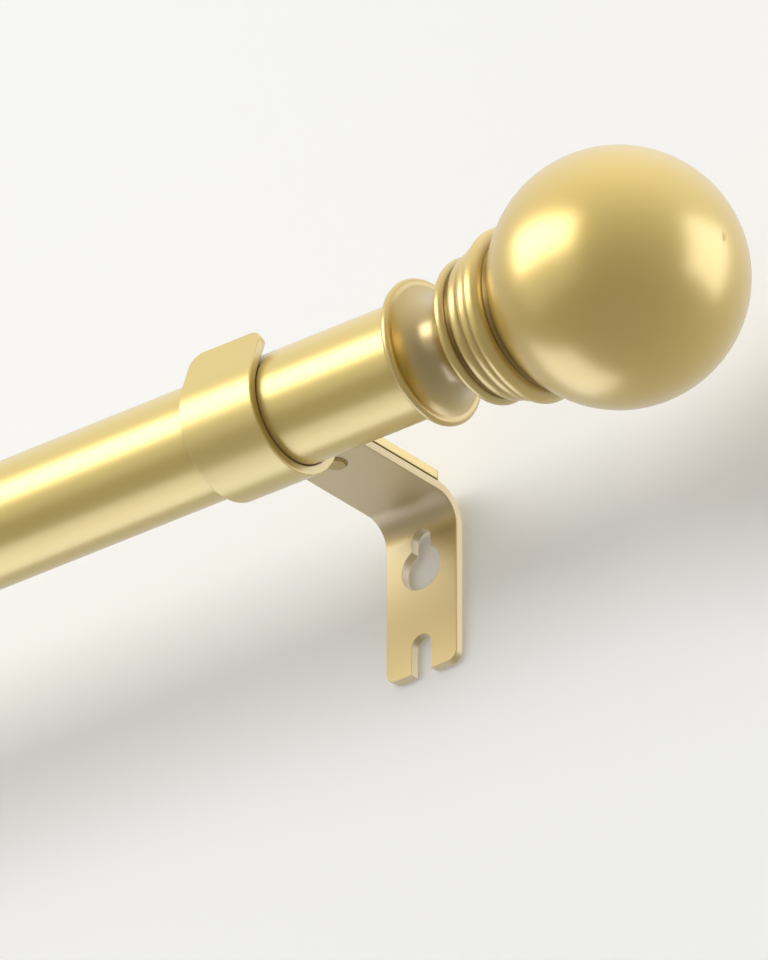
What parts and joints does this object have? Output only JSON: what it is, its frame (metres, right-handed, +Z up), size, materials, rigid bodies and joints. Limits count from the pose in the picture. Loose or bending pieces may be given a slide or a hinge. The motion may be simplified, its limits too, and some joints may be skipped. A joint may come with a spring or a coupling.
{
  "type": "extendable curtain rod",
  "caption": "Telescoping round curtain rod with turned ball finials, resting in hooks on adjustable wall brackets with keyhole plates.",
  "frame": {"origin": "on the wall, in the middle of the right bracket's plate, between its two screw openings", "axes": "+X along the rod towards the right finial, +Y into the wall, +Z up"},
  "size_m": [0.869, 0.0836, 0.0647],
  "materials": {
    "tube_gold": "satin",
    "bracket_gold": "satin",
    "finial_gold": "satin",
    "plated_steel": "satin",
    "zinc_steel": "zinc plated",
    "ring_plastic": "moulded",
    "plug_plastic": "moulded"
  },
  "bodies": {
    "bracket_right": {"wall_bracket_right": "bracket_gold"},
    "rod": {"rod_hook_right": "bracket_gold", "outer_tube": "tube_gold", "tube_mouth_ring": "ring_plastic", "tube_plug_right": "plug_plastic", "plug_nut_right": "zinc_steel"},
    "clamp_right": {"clamp_screw_right": "plated_steel", "clamp_washer_right": "plated_steel"},
    "stud_right": {"finial_stud_right": "zinc_steel"},
    "finial_right": {"finial_collar_right": "finial_gold", "finial_ball_right": "finial_gold"},
    "inner_rod": {"inner_tube": "tube_gold", "inner_tube_bush": "plug_plastic", "rod_hook_left": "bracket_gold", "tube_plug_left": "plug_plastic", "plug_nut_left": "zinc_steel"},
    "stud_left": {"finial_stud_left": "zinc_steel"},
    "finial_left": {"finial_collar_left": "finial_gold", "finial_ball_left": "finial_gold"},
    "bracket_left": {"wall_bracket_left": "bracket_gold"},
    "clamp_left": {"clamp_screw_left": "plated_steel", "clamp_washer_left": "plated_steel"}
  },
  "joints": [
    {"name": "projection_right", "type": "slide", "parent": "bracket_right", "child": "rod", "axis": [0, -1, 0], "range_m": [0, 0.016]},
    {"name": "rod_extension", "type": "slide", "parent": "rod", "child": "inner_rod", "axis": [-1, 0, 0], "range_m": [0, 0.508]},
    {"name": "projection_left", "type": "slide", "parent": "inner_rod", "child": "bracket_left", "axis": [0, 1, 0], "range_m": [0, 0.016]},
    {"name": "clamp_right_turn", "type": "hinge", "parent": "bracket_right", "child": "clamp_right", "pos_m": [0, -0.0304, 0.025], "axis": [0, 0, 1], "range_deg": [0, 360]},
    {"name": "clamp_left_turn", "type": "hinge", "parent": "bracket_left", "child": "clamp_left", "pos_m": [-0.6194, -0.0304, 0.0266], "axis": [0, 0, 1], "range_deg": [0, 360]},
    {"name": "finial_right_out", "type": "slide", "parent": "rod", "child": "stud_right", "axis": [1, 0, 0], "range_m": [0, 0.006]},
    {"name": "finial_right_turn", "type": "hinge", "parent": "stud_right", "child": "finial_right", "pos_m": [0.0458, -0.0559, 0.022], "axis": [1, 0, 0], "range_deg": [0, 2160]},
    {"name": "finial_left_out", "type": "slide", "parent": "inner_rod", "child": "stud_left", "axis": [-1, 0, 0], "range_m": [0, 0.006]},
    {"name": "finial_left_turn", "type": "hinge", "parent": "stud_left", "child": "finial_left", "pos_m": [-0.6652, -0.0559, 0.022], "axis": [-1, 0, 0], "range_deg": [0, 2160]}
  ],
  "couplings": [
    {"joint": "projection_left", "follows": "projection_right", "ratio": 1},
    {"joint": "finial_right_turn", "follows": "finial_right_out", "rad_per_m": 6283.2},
    {"joint": "finial_left_turn", "follows": "finial_left_out", "rad_per_m": 6283.2}
  ]
}
